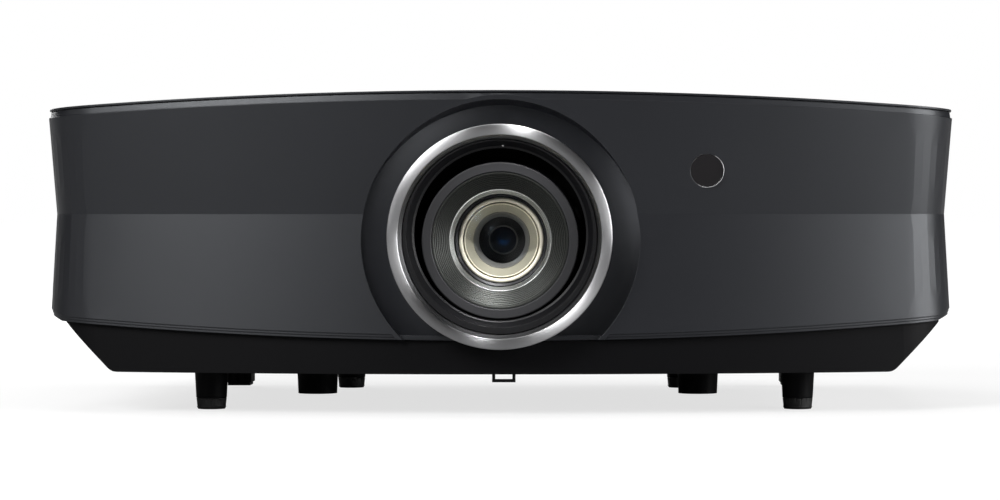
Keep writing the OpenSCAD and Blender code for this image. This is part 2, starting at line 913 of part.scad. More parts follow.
// The turning part of a foot: a grooved grip over a narrower, tapered sole
module knob() {
    grooves = 18;
    groove_r = 0.5;
    sole_h = 1.3;
    grip_r = sleeve_r - 1;
    translate([0, 0, -under_z]) difference() {
        union() {
            cylinder(r1 = grip_r - 0.9, r2 = grip_r - 0.2, h = sole_h + 0.1);
            translate([0, 0, sole_h]) cylinder(r1 = grip_r - groove_r, r2 = grip_r, h = knob_h - sole_h);
        }
        translate([0, 0, knob_h/2]) cylinder(r = stem_r + run, h = knob_h);
        for (i = [0:grooves - 1]) rotate([0, 0, i*360/grooves])
            translate([grip_r + 0.1, 0, sole_h]) cylinder(r = groove_r, h = knob_h, $fn = 24);
    }
}
module foot_place(side, y, spacing) {
    translate([core_x + side*spacing, y, under_z]) children();
}

module front_left_stem() { color(steel) foot_place(-1, front_feet_y, front_foot_x) stem(); }
module front_left_foot() { color(deep_black) foot_place(-1, front_feet_y, front_foot_x) knob(); }
module front_right_stem() { color(steel) foot_place(1, front_feet_y, front_foot_x) stem(); }
module front_right_foot() { color(deep_black) foot_place(1, front_feet_y, front_foot_x) knob(); }
module rear_left_stem() { color(steel) foot_place(-1, rear_feet_y, rear_foot_x) stem(); }
module rear_left_foot() { color(deep_black) foot_place(-1, rear_feet_y, rear_foot_x) knob(); }
module rear_right_stem() { color(steel) foot_place(1, rear_feet_y, rear_foot_x) stem(); }
module rear_right_foot() { color(deep_black) foot_place(1, rear_feet_y, rear_foot_x) knob(); }

/* Lens drive */

// A plate across the case, with shelves at its foot and head that hold the guide rods
module lens_frame() {
    half = rod_x_half + 10;
    back = rod_y0 + 8;
    color(steel) difference() {
        union() {
            span([core_x - half, frame_y + seam, deck], [core_x + half, frame_y + seam + frame_t, arm_z + 4]);
            span([core_x - half, frame_y + 1, deck], [core_x + half, back, deck + 6]);
            span([core_x - half, frame_y + 1, arm_z], [core_x + half, back, arm_z + 4]);
        }
        rod_y(core_x, eye_z, eye_in + 0.6, frame_y - 5, frame_y + 10);
        for (s = [-1, 1]) translate([core_x + s*rod_x_half, rod_y0, deck + 1])
            cylinder(r = rod_r + run, h = 200);
        translate([core_x, dial_y, arm_z - 5]) cylinder(r = dial_stem_r + run, h = 20);
    }
}

module guide_rods() {
    color(bright_metal) for (s = [-1, 1]) translate([core_x + s*rod_x_half, rod_y0, deck + 1])
        cylinder(r = rod_r, h = arm_z + 4 - deck - 1);
}

// The carriage: a plate round the lens tube, two rod sleeves and the nut of the shift screw
module lens_carriage() {
    low = deck + 6.3;
    half_t = 3;
    color(steel) difference() {
        union() {
            span([core_x - rod_x_half, rod_y0 - half_t, low + 4],
                [core_x + rod_x_half, rod_y0 + half_t, nut_z - 8]);
            for (s = [-1, 1]) translate([core_x + s*rod_x_half, rod_y0, low])
                cylinder(r = 7.5, h = nut_z - low);
            span([core_x - 8, rod_y0 - 5, nut_z - 12], [core_x + 8, rod_y0 + 5, nut_z]);
        }
        rod_y(core_x, lens_z, tube_r + 0.25, rod_y0 - 10, rod_y0 + 10);
        for (s = [-1, 1]) translate([core_x + s*rod_x_half, rod_y0, low - 1])
            cylinder(r = rod_r + run, h = 200);
        translate([core_x, dial_y, nut_z - 30]) cylinder(r = dial_stem_r + run, h = 40);
    }
}

// The dial of the lens shift: a fluted, cupped knob on its screw
module shift_dial() {
    top = crown_z - lid_t - 1.2;
    low = arm_z + 4.3;
    flutes = 24;
    color(deep_black) {
        difference() {
            translate([core_x, dial_y, low]) cylinder(r = dial_r, h = top - low);
            for (i = [0:flutes - 1]) translate([core_x, dial_y, arm_z]) rotate([0, 0, i*360/flutes])
                translate([dial_r + 0.2, 0, 0]) cylinder(r = 0.9, h = 30, $fn = 24);
            translate([core_x, dial_y, top - 1.5]) cylinder(r = dial_r - 4, h = 5);
        }
        translate([core_x, dial_y, nut_z - 9]) cylinder(r = dial_stem_r, h = arm_z + 14 - nut_z);
    }
}

/* Lens */

// The barrel, with seats for the focus and zoom rings and a flange at the carriage
module lens_barrel() {
    rim = lens_r - 0.6;
    flange_r = tube_r + 8;
    flange_y = rod_y0 - 7;
    tail_r = 24;
    color(deep_black) turned(lens_z) polygon([
        [cell_r + run, lens_front + 3.8], [tube_r, lens_front + 3.8],
        [tube_r, focus_back + seam], [rim, focus_back + seam],
        [rim, zoom_front - seam], [tube_r, zoom_front - seam],
        [tube_r, zoom_back + seam], [rim, zoom_back + seam],
        [rim, flange_y], [flange_r, flange_y], [flange_r, rod_y0 - 3],
        [tube_r, rod_y0 - 3], [tube_r, engine_y - 12], [tail_r, engine_y - 4],
        [tail_r, engine_y - seam], [tail_r - 4, engine_y - seam], [tail_r - 4, engine_y - 8],
        [cell_r + run, engine_y - 15]
    ]);
}

// The focus ring, with grip ribs left between grooves round its rear half
module focus_ring() {
    rim = tube_r + 0.5;
    edge = 0.5;
    grooves = 40;
    groove_r = 1;
    color(case_black) difference() {
        turned(lens_z) polygon([
            [rim, lens_front + 0.4], [rim + 0.4, lens_front], [lens_r - edge, lens_front],
            [lens_r, lens_front + edge], [lens_r, focus_back], [tube_r + run, focus_back],
            [tube_r + run, lens_front + 4], [rim, lens_front + 4]
        ]);
        for (i = [0:grooves - 1]) translate([core_x, lens_front + 6, lens_z]) rotate([-90, 0, 0])
            rotate([0, 0, i*360/grooves]) translate([lens_r + 0.6, 0, 0])
                cylinder(r = groove_r, h = 8, $fn = 24);
    }
}

// The zoom ring and its lever
module zoom_ring() {
    lever_a = 20;
    lever = [2.6, 6];
    edge = 0.5;
    color(deep_black) {
        turned(lens_z) polygon([
            [tube_r + run, zoom_front], [lens_r + 1 - edge, zoom_front], [lens_r + 1, zoom_front + edge],
            [lens_r + 1, zoom_back], [tube_r + run, zoom_back]
        ]);
        translate([core_x, zoom_front + 1, lens_z]) rotate([0, -lever_a, 0])
            translate([lens_r, 0, -lever[1]/2]) cube([lever[0], zoom_back - zoom_front - 2, lever[1]]);
    }
}

// The stepped baffle, glass seat and tube of the part that focuses
module front_cell() {
    step = (cell_r - 1.5 - glass_r)/baffle_steps;
    seat = seat_y - 0.2;
    slope = (seat - 2 - lens_front)/baffle_steps;
    front = lens_front + 0.6;
    back = focus_back + 20;
    brim_r = tube_r + 0.2;
    color(deep_black) turned(lens_z) polygon(concat(
        [[cell_r, back], [cell_r, front + 2.9], [brim_r, front + 2.9], [brim_r, front - 0.1],
            [cell_r, front - 0.3]],
        [for (i = [0:baffle_steps - 1]) let (r = cell_r - 0.6 - i*step) each
            [[r, front + i*slope], [r, front + (i + 1)*slope]]],
        [[glass_r + 0.5, seat - 1.2], [glass_r - 0.6, seat - 0.2], [glass_r - 0.6, seat + 0.2],
            [glass_r + 0.1, seat + 0.2], [glass_r + 0.1, seat + 9.2], [glass_r - 3.9, seat + 9.2],
            [glass_r - 3.9, seat + 14.2], [glass_r - 6, seat + 14.2], [glass_r - 6, back]]
    ));
}

// The front glass: a plano-convex element
module front_glass() {
    curve = 62;
    front = seat_y - 0.1;
    color(glass_blue) intersection() {
        rod_y(core_x, lens_z, glass_r - 0.02, front - 1, seat_y + 8.7);
        translate([core_x, front + curve, lens_z]) sphere(r = curve, $fn = 180);
    }
}

module gold_ring() {
    outer = glass_r - 4;
    front = seat_y + 9.2;
    depth = 4.6;
    color(gold) turned(lens_z) polygon([
        [outer, front], [outer, front + depth], [outer - 4, front + depth], [outer - 2.3, front]
    ]);
}

// The cell of the inner glass, with a stepped mouth
module inner_cell() {
    outer = glass_r - 6.3;
    front = seat_y + 14.2;
    back = focus_back + 22;
    mouth_r = 12.6;
    color(gold) turned(lens_z) polygon([
        [outer, front], [outer, back], [mouth_r, back], [mouth_r, front + 5.8],
        [mouth_r + 2.6, front + 4.8], [outer - 1.3, front]
    ]);
}

module inner_glass() {
    curve = 16;
    front = seat_y + 21;
    color(glass_blue) intersection() {
        rod_y(core_x, lens_z, 12.5, front, front + 6);
        translate([core_x, front + curve, lens_z]) sphere(r = curve, $fn = 96);
    }
}

// The cell of the zoom group, with a waisted bore
module zoom_cell() {
    front = focus_back + 36;
    depth = 24;
    bore_r = 7.4;
    color(deep_black) turned(lens_z) polygon([
        [cell_r, front], [cell_r, front + depth], [16, front + depth], [16, front + 18],
        [bore_r, front + 12], [bore_r, front + 6], [24, front]
    ]);
}

/* Light engine */

module rod_x(y, z, r, x0, x1) {
    translate([x0, y, z]) rotate([0, 90, 0]) cylinder(r = r, h = x1 - x0);
}

// The engine: a cast box on a flange, with the lens port, the chip window and the lamp duct
module light_engine() {
    flange = 10;
    floor_z = deck + 40;
    window = [12, 9];
    color([0.55, 0.56, 0.58]) difference() {
        union() {
            span([engine_x[0], engine_y, deck], [engine_x[1], engine_back, lens_z + 30]);
            span([engine_x[0] - flange, engine_y + 6, deck],
                [engine_x[1] + flange, engine_back - 6, deck + 5]);
            rod_x(duct_y, lens_z, port_r + 5, engine_x[1] - 1, wheel_x - 7);
        }
        span([engine_x[0] + engine_wall, engine_y + engine_wall, floor_z],
            [engine_x[1] - engine_wall, engine_back - engine_wall, lens_z + 40]);
        rod_y(core_x, lens_z, 20, engine_y - 1, engine_y + 10);
        span([core_x - window.x, engine_back - 8, lens_z - window.y],
            [core_x + window.x, engine_back + 1, lens_z + window.y]);
        rod_x(duct_y, lens_z, port_r, engine_x[1] - 10, wheel_x);
    }
}

// Two prisms with a thin air gap between them
module prism() {
    side = 34;
    gap = [-0.2, 0.4, 0];
    low = deck + 40;
    high = lens_z + side/2;
    color(glass_blue) translate([core_x - side/2, engine_back - engine_wall - 0.2 - side, low]) {
        linear_extrude(high - low) polygon([[0, 0], [side, 0], [side, side]]);
        translate(gap) linear_extrude(high - low)
            polygon([[0, 0], [side - gap.y, side - gap.y], [0, side - gap.y]]);
    }
}

module mirror_chip_board() {
    half = [32, 34];
    chip = [11, 8];
    color(board_green) {
        span([core_x - half.x, engine_back, lens_z - half.y],
            [core_x + half.x, engine_back + board_t, lens_z + half.y]);
        span([core_x - chip.x, engine_back - engine_wall, lens_z - chip.y],
            [core_x + chip.x, engine_back + 0.1, lens_z + chip.y]);
    }
}

// A base plate at low, with a row of upright fins behind it
module heatsink(low, width, height, base_t, depth, fins, fin_t) {
    pitch = (width - fin_t)/(fins - 1);
    translate(low) {
        cube([width, base_t, height]);
        for (i = [0:fins - 1]) translate([i*pitch, base_t - 1, 0]) cube([fin_t, depth - base_t + 1, height]);
    }
}

module chip_heatsink() {
    color(steel) heatsink([core_x - 30, engine_back + board_t, lens_z - 24], 60, 48, 5, 26, 9, 2);
}

// The wheel, its hub and its axle
module phosphor_wheel() {
    color(bright_metal) {
        difference() {
            rod_x(wheel_y, lens_z, wheel_r, wheel_x, wheel_x + wheel_t);
            rod_x(wheel_y, lens_z, axle_r, wheel_x - 1, wheel_x + 2*wheel_t);
        }
        difference() {
            rod_x(wheel_y, lens_z, 9, wheel_x - 3, wheel_x + wheel_t/3);
            rod_x(wheel_y, lens_z, axle_r, wheel_x - 1, wheel_x + 2*wheel_t);
        }
        rod_x(wheel_y, lens_z, axle_r, wheel_x - 1.5, wheel_x + 10);
    }
}

// The motor on its angle bracket
module wheel_motor() {
    x0 = wheel_x + wheel_t + 0.7;
    half = 14;
    color(steel) difference() {
        union() {
            rod_x(wheel_y, lens_z, 13, x0, x0 + 16);
            span([x0 + 8, wheel_y - half, deck], [x0 + 12, wheel_y + half, lens_z]);
            span([x0 + 8, wheel_y - half, deck], [x0 + 26, wheel_y + half, deck + 3]);
        }
        rod_x(wheel_y, lens_z, axle_r + run, x0 - 1, x0 + 12);
    }
}

// The laser module, with its lenses on the side towards the wheel
module laser_module() {
    x0 = wheel_x - laser_half;
    color([0.6, 0.6, 0.62]) {
        span([x0, laser_y, deck], [wheel_x + laser_half, laser_y + laser_d, lens_z + 16]);
        for (i = [0:2], j = [0:1]) rod_x(laser_y + 12 + i*11, lens_z - 14 + j*16, 4.5, x0 - 4, x0 + 1);
    }
}

module laser_heatsink() {
    color(steel) heatsink([wheel_x - laser_half, laser_y + laser_d, deck],
        2*laser_half, lens_z + 16 - deck, 6, 40, 17, 1.5);
}

/* Cooling fans: the frame is square, with a hub on four struts that carries the impeller */

module fan_frame(x, y) {
    hub_t = 3;
    strut = 4;
    screw_at = fan_side/2 - 5;
    color(deep_black) translate([x, y, fan_z]) rotate([90, 0, 90]) {
        linear_extrude(fan_t) difference() {
            square(fan_side, center = true);
            circle(r = fan_side/2 - 1.5);
            for (sx = [-1, 1], sy = [-1, 1]) translate([sx*screw_at, sy*screw_at]) circle(r = 2.2);
        }
        linear_extrude(hub_t) difference() {
            union() {
                circle(r = hub_r);
                for (a = [45, 135]) rotate(a) square([fan_side + 1, strut], center = true);
            }
            circle(r = spindle_r + run);
        }
    }
}

// An impeller: a cupped hub with its spindle, and blades set at an angle
module impeller(x, y) {
    blades = 7;
    blade = [24, 1.8];
    pitch_a = 38;
    back = x + fan_t - 3;
    color([0.1, 0.1, 0.1]) {
        difference() {
            rod_x(y, fan_z, hub_r, x + 3.6, back + 1);
            rod_x(y, fan_z, hub_r - 2, x + 3, back - 1);
        }
        rod_x(y, fan_z, spindle_r, x + 0.6, back);
        intersection() {
            rod_x(y, fan_z, fan_side/2 - 3, x + 5, back);
            for (i = [0:blades - 1]) translate([x + fan_t/2, y, fan_z]) rotate([i*360/blades, 0, 0])
                rotate([0, 0, pitch_a]) translate([-blade.x/2, -blade.y/2, hub_r - 1.5])
                    cube([blade.x, blade.y, fan_side/2]);
        }
    }
}

module intake_fan() { fan_frame(intake_x, intake_y); }
module intake_impeller() { impeller(intake_x, intake_y); }
module exhaust_fan() { fan_frame(exhaust_x, exhaust_y); }
module exhaust_impeller() { impeller(exhaust_x, exhaust_y); }

/* Boards and speakers */

// The main board stands on three angle feet, with four chips in a row
module main_board() {
    foot_w = 8;
    color(board_green) {
        span([main_x[0], main_y, deck + 26], [main_x[1], main_y + board_t, crown_z - 20]);
        for (x = [main_x[0] + 10, core_x + 18, main_x[1] - 12]) {
            span([x, main_y, deck], [x + foot_w, main_y + board_t, deck + 27]);
            span([x, main_y - 8, deck], [x + foot_w, main_y + 1, deck + board_t]);
        }
        for (i = [0:3]) translate([main_x[0] + 20 + i*30, main_y - 3, 105]) cube([18, 3.5, 18]);
    }
}

// The power board lies on six studs, with its two transformers and its capacitors
module power_board() {
    z = deck + 6;
    x0 = 84 - hw;
    x1 = engine_x[0] - 10;
    y0 = face_y + 113.5;
    y1 = rear_y - 49.5;
    color(board_green) {
        span([x0, y0, z], [x1, y1, z + board_t]);
        for (x = [x0 + 5, x1 - 6], y = [y0 + 6, (y0 + y1)/2, y1 - 6]) translate([x, y, deck])
            cylinder(r = 3, h = z + 0.5 - deck);
        translate([x0 + 15, y0 + 60, z + 1]) cube([45, 42, 33]);
        translate([x1 - 48, y1 - 46, z + 1]) cube([32, 34, 25]);
        for (i = [0:2]) translate([x0 + 19 + i*22, y1 - 28, z + 1]) cylinder(r = 9, h = 32);
        for (i = [0:1]) translate([x0 + 25 + i*30, y0 + 22, z + 1]) cylinder(r = 11, h = 20);
    }
}

// Two speakers: a box with a round rim and a cone let into it
module speakers() {
    half = 32;
    color(deep_black) for (s = [-1, 1]) {
        x = core_x + s*speaker_x;
        difference() {
            union() {
                span([x - half, speaker_y, deck], [x + half, speaker_y + 40, deck + 52]);
                rod_y(x, speaker_z, 22, speaker_y - 0.5, speaker_y + 2.5);
            }
            translate([x, speaker_y - 1, speaker_z]) rotate([-90, 0, 0]) cylinder(r1 = 19, r2 = 7, h = 9);
        }
    }
}

front_cover();
top_cover();
bottom_case();
side_cover_left();
side_cover_right();
rear_panel();
trim_ring();
lens_shroud();
ir_window();
shift_door();
security_bar();
dust_filter();
case_screws();
chassis();
front_left_stem();
front_left_foot();
front_right_stem();
front_right_foot();
rear_left_stem();
rear_left_foot();
rear_right_stem();
rear_right_foot();
lens_frame();
guide_rods();
lens_carriage();
shift_dial();
lens_barrel();
zoom_ring();
focus_ring();
front_cell();
front_glass();
gold_ring();
inner_cell();
inner_glass();
zoom_cell();
light_engine();
prism();
mirror_chip_board();
chip_heatsink();
phosphor_wheel();
wheel_motor();
laser_module();
laser_heatsink();
intake_fan();
intake_impeller();
exhaust_fan();
exhaust_impeller();
main_board();
power_board();
keypad_board();
speakers();
signal_ports();
mains_inlet();
power_button();
menu_button();
up_button();
down_button();
left_button();
right_button();
enter_button();
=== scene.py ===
# %% [markdown]
# # Dressing a home cinema projector
# The engineering model comes first: every cover, screw and lens group is already here, at its
# real size, and each one hangs on the body that it moves with. This lesson gives those pieces
# their finishes, and models the small things that the engineering model leaves out. The frame is
# loaded first.

# %% Load the frame
import bmesh
import bpy
import json
from math import pi, radians
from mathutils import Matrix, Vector


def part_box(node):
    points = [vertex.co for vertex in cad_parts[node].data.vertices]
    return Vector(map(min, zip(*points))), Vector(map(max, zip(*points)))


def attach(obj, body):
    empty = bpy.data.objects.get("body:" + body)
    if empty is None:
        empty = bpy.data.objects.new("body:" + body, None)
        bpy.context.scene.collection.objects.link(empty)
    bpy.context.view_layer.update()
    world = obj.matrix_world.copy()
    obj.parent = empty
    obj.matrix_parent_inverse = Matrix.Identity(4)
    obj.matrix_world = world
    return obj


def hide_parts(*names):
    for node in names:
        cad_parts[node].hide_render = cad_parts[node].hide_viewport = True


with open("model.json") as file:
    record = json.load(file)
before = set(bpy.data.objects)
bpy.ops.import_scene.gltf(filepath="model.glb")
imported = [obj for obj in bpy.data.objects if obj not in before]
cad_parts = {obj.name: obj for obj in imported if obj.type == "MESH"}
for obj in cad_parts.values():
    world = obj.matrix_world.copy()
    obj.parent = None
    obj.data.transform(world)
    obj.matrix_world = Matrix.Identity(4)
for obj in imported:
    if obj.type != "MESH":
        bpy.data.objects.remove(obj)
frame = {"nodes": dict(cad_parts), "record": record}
NODES = frame["nodes"]
SLOTS = {row["node"]: row["material_slot"] for row in frame["record"]["subparts"]}
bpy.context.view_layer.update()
mm = 0.001

# %% [markdown]
# Positions are read from the frame, so that a piece stays in place if a size changes. The trim
# ring gives the axis of the dish, the focus ring gives the axis and the front of the lens, and
# the case parts give nearly all the rest.

# %% Places that other pieces hang on
def middle(node):
    low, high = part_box(node)
    return (low + high)/2


ring = middle("trim_ring")
ring_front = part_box("trim_ring")[0].y
lens = middle("focus_ring")
lens.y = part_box("focus_ring")[0].y
print("ring axis", ring, "lens axis and front", lens)

# %% [markdown]
# ## Camera
# A long lens from nearly two metres flattens the wide case, so that its front keeps its true
# shape. The camera looks level, straight along +Y, from a little right of the middle and from mid
# height. Its frame is shifted rather than turned, so that upright edges stay upright.

# %% Camera
def add_camera(place, sensor, lens_mm, shift):
    data = bpy.data.cameras.new("camera")
    data.sensor_width = sensor
    data.lens = lens_mm
    data.shift_x, data.shift_y = shift
    camera = bpy.data.objects.new("camera", data)
    camera.location = place
    camera.rotation_euler = (radians(90), 0, 0)
    bpy.context.scene.collection.objects.link(camera)
    bpy.context.scene.camera = camera
    return camera


camera = add_camera((0.060, -1.853, 0.1068), 36.0, 115.45, (-0.1097, -0.035))
bpy.context.scene.view_settings.view_transform = "Standard"
print("camera at", camera.location)

# %% [markdown]
# ## Light
# Black satin plastic shows its lamps more than its colour. The key is a tall soft box at the
# upper left, with a small weak one under it. Two more stand at the right, a wide dim one at the
# left, one hangs overhead, and one lights the back. The space in front stays dim, so the face
# falls off towards the middle. Each box is aimed at the case, a little above the floor.

# %% Soft boxes
def add_soft_box(name, place, size, power, aim=(0, -0.05, 0.1)):
    data = bpy.data.lights.new(name, "AREA")
    data.shape = "RECTANGLE"
    data.size, data.size_y = size
    data.energy = power
    lamp = bpy.data.objects.new(name, data)
    lamp.location = place
    lamp.rotation_euler = (Vector(aim) - Vector(place)).to_track_quat("-Z", "Y").to_euler()
    bpy.context.scene.collection.objects.link(lamp)
    return lamp


soft_boxes = [
    add_soft_box("key_box", (-1.2, -1.9, 1.4), (0.9, 1.2), 50),
    add_soft_box("low_left_box", (-1.35, -1.95, 0.42), (0.5, 0.5), 2.5),
    add_soft_box("left_wall", (-2.3, -0.75, 0.6), (1.6, 1.1), 2.5),
    add_soft_box("right_box", (2.2, -0.6, 0.6), (1.5, 1.3), 42),
    add_soft_box("right_fill", (1.7, -1.5, 0.5), (1.0, 0.9), 13),
    add_soft_box("top_box", (0.0, 0.1, 2.2), (2.2, 1.6), 24),
    add_soft_box("back_box", (-1.3, 2.1, 1.0), (1.6, 1.2), 30),
]
print("soft boxes:", len(soft_boxes))

# %% [markdown]
# The bright metal inside the lens lies deep, where no soft box reaches. A soft box strong enough
# for it would flood the dark face, so a spot lamp lights the lens alone. Its cone is only a few
# degrees wide, as through a snoot, the tube that narrows a studio lamp.

# %% Snoot on the lens
def add_snoot(name, place, aim, cone, power, soft_share=0.6, lamp_radius=0.012):
    data = bpy.data.lights.new(name, "SPOT")
    data.energy = power
    data.spot_size = radians(cone)
    data.spot_blend = soft_share
    data.shadow_soft_size = lamp_radius
    lamp = bpy.data.objects.new(name, data)
    lamp.location = place
    lamp.rotation_euler = (aim - Vector(place)).to_track_quat("-Z", "Y").to_euler()
    bpy.context.scene.collection.objects.link(lamp)
    return lamp


snoot = add_snoot("lens_snoot", (0.2, -1.05, 1.35), lens, 2.7, 160)
print(snoot.name, "at", snoot.location)

# %% [markdown]
# The backdrop is a white patch of the world behind the case. The camera sees it everywhere, and
# glass lets it through. Mirrors see it only where it is, behind the case and never in front, and
# weaker than it is. Everything else stays at the level of the dim studio.

# %% World
def join(tree, first, second, operation):
    node = tree.nodes.new("ShaderNodeMath")
    node.operation = operation
    for socket, value in zip(node.inputs, (first, second)):
        if isinstance(value, bpy.types.NodeSocket):
            tree.links.new(value, socket)
        else:
            socket.default_value = value
    return node.outputs[0]


def remap(tree, value, low, high, start, end):
    node = tree.nodes.new("ShaderNodeMapRange")
    tree.links.new(value, node.inputs["Value"])
    for name, number in zip(("From Min", "From Max", "To Min", "To Max"), (low, high, start, end)):
        node.inputs[name].default_value = number
    return node.outputs["Result"]


MIRRORED_LEVEL = 0.35


def seen_share(tree, behind):
    path = tree.nodes.new("ShaderNodeLightPath").outputs
    weaker = join(tree, behind, MIRRORED_LEVEL, "MULTIPLY")
    mirrored = join(tree, path["Is Glossy Ray"], weaker, "MULTIPLY")
    direct = join(tree, path["Is Camera Ray"], path["Is Transmission Ray"], "MAXIMUM")
    return join(tree, direct, mirrored, "MAXIMUM")


def set_world(dim, patch_edge):
    world = bpy.data.worlds.new("studio")
    bpy.context.scene.world = world
    world.use_nodes = True
    tree = world.node_tree
    direction = tree.nodes.new("ShaderNodeTexCoord").outputs["Generated"]
    split = tree.nodes.new("ShaderNodeSeparateXYZ")
    tree.links.new(direction, split.inputs[0])
    behind = remap(tree, split.outputs["Y"], *patch_edge, 0.0, 1.0)
    level = remap(tree, seen_share(tree, behind), 0.0, 1.0, dim, 1.0)
    background = tree.nodes["Background"]
    tree.links.new(level, background.inputs["Strength"])
    background.inputs["Color"].default_value = (1, 1, 1, 1)


set_world(0.014, patch_edge=(0.955, 0.98))
print("world:", bpy.context.scene.world.name)

# %% [markdown]
# The floor is plain and pale. Its own light is seen by the camera, through glass, and weakly in
# mirrors where it lies behind the case, so the case stands on white and still drops a soft
# shadow.

# %% Floor
def add_floor(half, grey, near_glow, glow_reach, mirror_reach):
    shape = bmesh.new()
    bmesh.ops.create_grid(shape, x_segments=1, y_segments=1, size=half)
    mesh = bpy.data.meshes.new("floor")
    shape.to_mesh(mesh)
    shape.free()
    floor = bpy.data.objects.new("floor", mesh)
    bpy.context.scene.collection.objects.link(floor)
    material = bpy.data.materials.new("floor_white")
    material.use_nodes = True
    tree = material.node_tree
    bsdf = tree.nodes["Principled BSDF"]
    bsdf.inputs["Base Color"].default_value = (grey, grey, grey, 1)
    bsdf.inputs["Roughness"].default_value = 1.0
    bsdf.inputs["Specular IOR Level"].default_value = 0.0
    bsdf.inputs["Emission Color"].default_value = (1, 1, 1, 1)
    place = tree.nodes.new("ShaderNodeSeparateXYZ")
    tree.links.new(tree.nodes.new("ShaderNodeNewGeometry").outputs["Position"], place.inputs[0])
    behind = remap(tree, place.outputs["Y"], *mirror_reach, 0.0, 1.0)
    level = remap(tree, place.outputs["Y"], *glow_reach, near_glow, 1.0)
    glow = join(tree, seen_share(tree, behind), level, "MULTIPLY")
    tree.links.new(glow, bsdf.inputs["Emission Strength"])
    mesh.materials.append(material)
    return floor


floor = add_floor(40, 0.3, near_glow=0.72, glow_reach=(0.6, 2.0), mirror_reach=(0.5, 1.0))
print("floor is", floor.dimensions.x, "m wide")

# %% [markdown]
# ## Finishes
# A finish is a small graph of nodes. The class below keeps the writing short: it starts from a
# Principled BSDF, and its methods add a node, a noise or a bump and join them up. Patterns are
# placed with Object coordinates, in metres, so that a scale of 2000 means grains half a
# millimetre apart. A noise hardly leaves the span from 0.3 to 0.7, so that span is stretched to
# the full change.

# %% A helper for finishes
NOISE_LOW, NOISE_HIGH = 0.3, 0.7


class Finish:
    def __init__(self, name, colour, roughness, metallic=0.0, **settings):
        self.material = bpy.data.materials.new(name)
        self.material.use_nodes = True
        self.tree = self.material.node_tree
        self.bsdf = self.tree.nodes["Principled BSDF"]
        self.set("Base Color", (*colour, 1))
        self.set("Roughness", roughness)
        self.set("Metallic", metallic)
        for socket, value in settings.items():
            self.set(socket.replace("_", " "), value)
        self.coordinates = self.add("ShaderNodeTexCoord").outputs["Object"]

    def set(self, socket, value):
        self.bsdf.inputs[socket].default_value = value

    def link(self, output, socket):
        self.tree.links.new(output, self.bsdf.inputs[socket])

    def add(self, kind, inputs=(), **settings):
        node = self.tree.nodes.new(kind)
        for key, value in settings.items():
            setattr(node, key, value)
        for key, value in dict(inputs).items():
            if isinstance(value, bpy.types.NodeSocket):
                self.tree.links.new(value, node.inputs[key])
            else:
                node.inputs[key].default_value = value
        return node

    def noise(self, scale, detail=2.0, at=None):
        vector = self.coordinates if at is None else at
        node = self.add("ShaderNodeTexNoise", {"Vector": vector, "Scale": scale, "Detail": detail})
        return node.outputs["Fac"]

    def vary_colour(self, value, light, dark):
        ramp = self.add("ShaderNodeValToRGB", {"Fac": value})
        ramp.color_ramp.elements[0].position = NOISE_LOW
        ramp.color_ramp.elements[0].color = (*dark, 1)
        ramp.color_ramp.elements[1].position = NOISE_HIGH
        ramp.color_ramp.elements[1].color = (*light, 1)
        self.link(ramp.outputs["Color"], "Base Color")

    def vary_roughness(self, value, low, high):
        span = self.add("ShaderNodeMapRange", {
            "Value": value, "From Min": NOISE_LOW, "From Max": NOISE_HIGH,
            "To Min": low, "To Max": high})
        self.link(span.outputs["Result"], "Roughness")

    def bump(self, height, depth, soft_edge=0.0):
        node = self.add("ShaderNodeBump", {"Height": height, "Distance": depth, "Strength": 1.0})
        if soft_edge > 0:
            rounded = self.add("ShaderNodeBevel", {"Radius": soft_edge}, samples=6)
            self.tree.links.new(rounded.outputs["Normal"], node.inputs["Normal"])
        self.link(node.outputs["Normal"], "Normal")

    def from_axis(self, centre):
        shift = self.add("ShaderNodeVectorMath", {0: self.coordinates, 1: (centre.x, 0, centre.z)},
                         operation="SUBTRACT")
        flat = self.add("ShaderNodeVectorMath", {0: shift.outputs[0], 1: (1, 0, 1)},
                        operation="MULTIPLY")
        return flat.outputs[0]


def shade(colour, factor):
    return tuple(channel*factor for channel in colour)


# %% [markdown]
# Moulded plastic is one recipe with different numbers. The covers have the fine satin grain of a
# spark-eroded tool, about half a millimetre across and a few micrometres deep. Their edges are
# never sharp, so a Bevel node rounds them for the light. The bottom case is flatter and nearly
# black: partly its own darker plastic, and partly painted shade, as its colour and its mirroring
# are turned down for the shade that falls under the covers.

# %% Moulded plastic
BLOTCHES, SPECKS = 14, 500


def moulded(name, colour, roughness, grain=0.5*mm, depth=0.008*mm, edge=0.35*mm, swing=0.02,
            **settings):
    finish = Finish(name, colour, roughness, **settings)
    finish.vary_colour(finish.noise(BLOTCHES, 4), shade(colour, 1.06), shade(colour, 0.94))
    finish.vary_roughness(finish.noise(SPECKS, 3), roughness - swing, roughness + swing)
    finish.bump(finish.noise(1/grain, 1), depth, edge)
    return finish.material


FINISHES = {
    "case_black": moulded("case_black", (0.011, 0.0115, 0.014), 0.36, edge=0.6*mm,
                          Specular_Tint=(0.93, 0.96, 1.0, 1)),
    # deep_black: a darker plastic, and painted shade for the bottom case under the covers
    "deep_black": moulded("deep_black", (0.003, 0.003, 0.0036), 0.5, Specular_IOR_Level=0.09),
    "button_grey": moulded("button_grey", (0.02, 0.02, 0.021), 0.4),
    "filter_frame": moulded("filter_frame", (0.03, 0.03, 0.032), 0.55),
    "foot_rubber": moulded("foot_rubber", (0.009, 0.009, 0.0095), 0.6),
    "board_green": moulded("board_green", (0.01, 0.06, 0.025), 0.35),
    "window_black": moulded("window_black", (0.004, 0.003, 0.004), 0.08, depth=0),
}
print("plastics:", len(FINISHES))

# %% [markdown]
# Turned metal carries fine concentric grooves, which smear each lamp into a bright fan across the
# ring. The Principled shader does that with its anisotropy, if its tangent runs outwards from the
# axis. Cast, folded and plated metals only differ in roughness and in the size of their grain.

